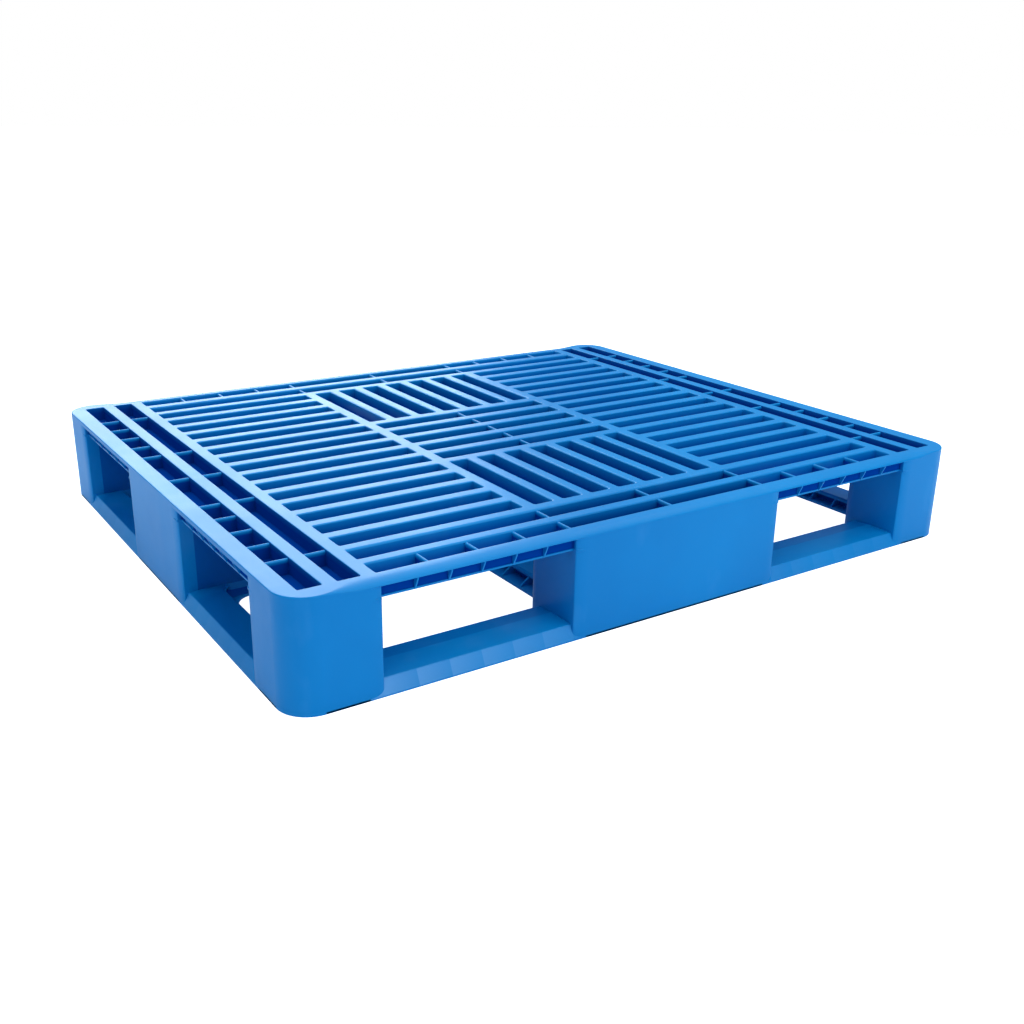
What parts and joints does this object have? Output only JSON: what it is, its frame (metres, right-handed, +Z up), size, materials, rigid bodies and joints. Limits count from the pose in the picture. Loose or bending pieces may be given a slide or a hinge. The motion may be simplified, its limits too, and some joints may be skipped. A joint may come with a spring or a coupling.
{
  "type": "plastic pallet",
  "caption": "Slotted-deck plastic pallet on hollow blocks and a perimeter base frame, with fork openings on all four sides.",
  "frame": {"origin": "centre of the footprint, on the floor", "axes": "+X along the long side, +Y from the front long side to the rear one, +Z up"},
  "size_m": [1.2, 1, 0.155],
  "materials": {
    "deck_grid": "moulded polyethylene, satin, blue",
    "base_frame": "moulded polyethylene, satin, blue",
    "block_front_left": "moulded polyethylene, satin, blue",
    "block_front_mid": "moulded polyethylene, satin, blue",
    "block_front_right": "moulded polyethylene, satin, blue",
    "block_left_mid": "moulded polyethylene, satin, blue",
    "block_centre": "moulded polyethylene, satin, blue",
    "block_right_mid": "moulded polyethylene, satin, blue",
    "block_rear_left": "moulded polyethylene, satin, blue",
    "block_rear_mid": "moulded polyethylene, satin, blue",
    "block_rear_right": "moulded polyethylene, satin, blue",
    "pin_front_left": "moulded polyethylene, satin, blue",
    "pin_front_mid": "moulded polyethylene, satin, blue",
    "pin_front_right": "moulded polyethylene, satin, blue",
    "pin_left_mid": "moulded polyethylene, satin, blue",
    "pin_centre": "moulded polyethylene, satin, blue",
    "pin_right_mid": "moulded polyethylene, satin, blue",
    "pin_rear_left": "moulded polyethylene, satin, blue",
    "pin_rear_mid": "moulded polyethylene, satin, blue",
    "pin_rear_right": "moulded polyethylene, satin, blue"
  },
  "bodies": {
    "root": {"deck_grid": "deck_grid", "base_frame": "base_frame", "block_front_left": "block_front_left", "block_front_mid": "block_front_mid", "block_front_right": "block_front_right", "block_left_mid": "block_left_mid", "block_centre": "block_centre", "block_right_mid": "block_right_mid", "block_rear_left": "block_rear_left", "block_rear_mid": "block_rear_mid", "block_rear_right": "block_rear_right", "pin_front_left": "pin_front_left", "pin_front_mid": "pin_front_mid", "pin_front_right": "pin_front_right", "pin_left_mid": "pin_left_mid", "pin_centre": "pin_centre", "pin_right_mid": "pin_right_mid", "pin_rear_left": "pin_rear_left", "pin_rear_mid": "pin_rear_mid", "pin_rear_right": "pin_rear_right"}
  },
  "joints": []
}
